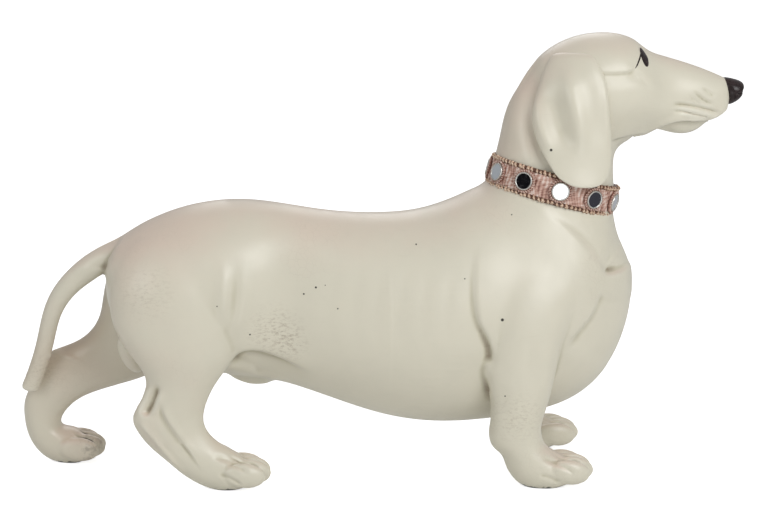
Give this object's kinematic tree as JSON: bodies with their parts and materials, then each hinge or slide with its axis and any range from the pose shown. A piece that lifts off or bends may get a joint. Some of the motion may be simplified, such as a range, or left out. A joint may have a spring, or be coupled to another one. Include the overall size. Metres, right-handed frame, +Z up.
{
  "type": "ceramic dog figurine",
  "caption": "Free-standing hollow ceramic figurine of a long low dog with drop ears, a trailing tail and a beaded collar set with round mirrors.",
  "frame": {"origin": "on the ground, under the middle of the figure's box", "axes": "+X forward, from tail to nose; +Y to the dog's left; +Z up"},
  "size_m": [0.4366, 0.117, 0.265],
  "materials": {
    "glazed_cream": "satin cream glaze, faintly crazed and pinholed",
    "black_glaze": "gloss brown-black glaze",
    "copper_band": "matt copper-pink lustre with cream wiped into a hatched relief",
    "gilt_edging": "dull gilt and cream beaded relief",
    "silver_bezel": "soft silver",
    "mirror_glass": "plane mirror"
  },
  "bodies": {
    "root": {"torso_casting": "glazed_cream", "head_casting": "glazed_cream", "ear_left": "glazed_cream", "ear_right": "glazed_cream", "front_leg_left": "glazed_cream", "front_leg_right": "glazed_cream", "hind_leg_left": "glazed_cream", "hind_leg_right": "glazed_cream", "tail": "glazed_cream", "nose": "black_glaze", "eye_left": "black_glaze", "eye_right": "black_glaze", "collar_band": "copper_band", "collar_edging_upper": "gilt_edging", "collar_edging_lower": "gilt_edging", "bezel_01": "silver_bezel", "bezel_02": "silver_bezel", "bezel_03": "silver_bezel", "bezel_04": "silver_bezel", "bezel_05": "silver_bezel", "bezel_06": "silver_bezel", "bezel_07": "silver_bezel", "bezel_08": "silver_bezel", "bezel_09": "silver_bezel", "bezel_10": "silver_bezel", "bezel_11": "silver_bezel", "mirror_01": "mirror_glass", "mirror_02": "mirror_glass", "mirror_03": "mirror_glass", "mirror_04": "mirror_glass", "mirror_05": "mirror_glass", "mirror_06": "mirror_glass", "mirror_07": "mirror_glass", "mirror_08": "mirror_glass", "mirror_09": "mirror_glass", "mirror_10": "mirror_glass", "mirror_11": "mirror_glass"}
  },
  "joints": []
}
